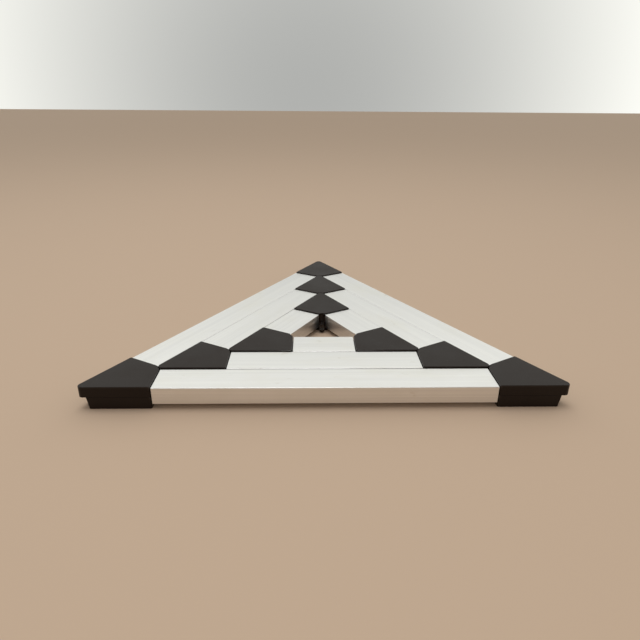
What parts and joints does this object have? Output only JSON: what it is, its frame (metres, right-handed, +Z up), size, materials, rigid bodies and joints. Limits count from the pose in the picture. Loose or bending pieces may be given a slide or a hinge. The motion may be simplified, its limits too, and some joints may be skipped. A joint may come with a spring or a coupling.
{
  "type": "magnetic desk sculpture",
  "caption": "Nested triangular rings of flat aluminium bar with black kite-shaped corners, which lie in one plane and lift out of each other.",
  "frame": {"origin": "middle of the footprint, on the surface that the corners stand on", "axes": "+X along the front side, to the right; +Y from the front side to the back corner; +Z up"},
  "size_m": [0.201, 0.1746, 0.0102],
  "materials": {
    "bar_aluminium": "satin anodised, with fine lengthwise extrusion lines",
    "corner_plastic": "black moulded plastic with a fine satin texture on top and smoother sides",
    "joiner_plastic": "plain dark grey moulding, hidden inside the corners",
    "magnet_nickel": "bright nickel plating"
  },
  "bodies": {
    "outer_ring": {"outer_front_bar": "bar_aluminium", "outer_right_bar": "bar_aluminium", "outer_left_bar": "bar_aluminium", "outer_left_cap": "corner_plastic", "outer_left_base": "corner_plastic", "outer_left_joiner": "joiner_plastic", "outer_left_nose_magnet": "magnet_nickel", "outer_left_lip_magnet": "magnet_nickel", "outer_right_cap": "corner_plastic", "outer_right_base": "corner_plastic", "outer_right_joiner": "joiner_plastic", "outer_right_nose_magnet": "magnet_nickel", "outer_right_lip_magnet": "magnet_nickel", "outer_back_cap": "corner_plastic", "outer_back_base": "corner_plastic", "outer_back_joiner": "joiner_plastic", "outer_back_nose_magnet": "magnet_nickel", "outer_back_lip_magnet": "magnet_nickel"},
    "middle_ring": {"middle_front_bar": "bar_aluminium", "middle_right_bar": "bar_aluminium", "middle_left_bar": "bar_aluminium", "middle_left_cap": "corner_plastic", "middle_left_base": "corner_plastic", "middle_left_joiner": "joiner_plastic", "middle_left_nose_magnet": "magnet_nickel", "middle_left_lip_magnet": "magnet_nickel", "middle_right_cap": "corner_plastic", "middle_right_base": "corner_plastic", "middle_right_joiner": "joiner_plastic", "middle_right_nose_magnet": "magnet_nickel", "middle_right_lip_magnet": "magnet_nickel", "middle_back_cap": "corner_plastic", "middle_back_base": "corner_plastic", "middle_back_joiner": "joiner_plastic", "middle_back_nose_magnet": "magnet_nickel", "middle_back_lip_magnet": "magnet_nickel"},
    "inner_ring": {"inner_front_bar": "bar_aluminium", "inner_right_bar": "bar_aluminium", "inner_left_bar": "bar_aluminium", "inner_left_cap": "corner_plastic", "inner_left_base": "corner_plastic", "inner_left_joiner": "joiner_plastic", "inner_left_nose_magnet": "magnet_nickel", "inner_left_lip_magnet": "magnet_nickel", "inner_right_cap": "corner_plastic", "inner_right_base": "corner_plastic", "inner_right_joiner": "joiner_plastic", "inner_right_nose_magnet": "magnet_nickel", "inner_right_lip_magnet": "magnet_nickel", "inner_back_cap": "corner_plastic", "inner_back_base": "corner_plastic", "inner_back_joiner": "joiner_plastic", "inner_back_nose_magnet": "magnet_nickel", "inner_back_lip_magnet": "magnet_nickel"}
  },
  "joints": [
    {"name": "middle_ring_lift", "type": "slide", "parent": "outer_ring", "child": "middle_ring", "axis": [0, 0, 1], "range_m": [0, 0.04]},
    {"name": "inner_ring_lift", "type": "slide", "parent": "middle_ring", "child": "inner_ring", "axis": [0, 0, 1], "range_m": [0, 0.04]}
  ]
}
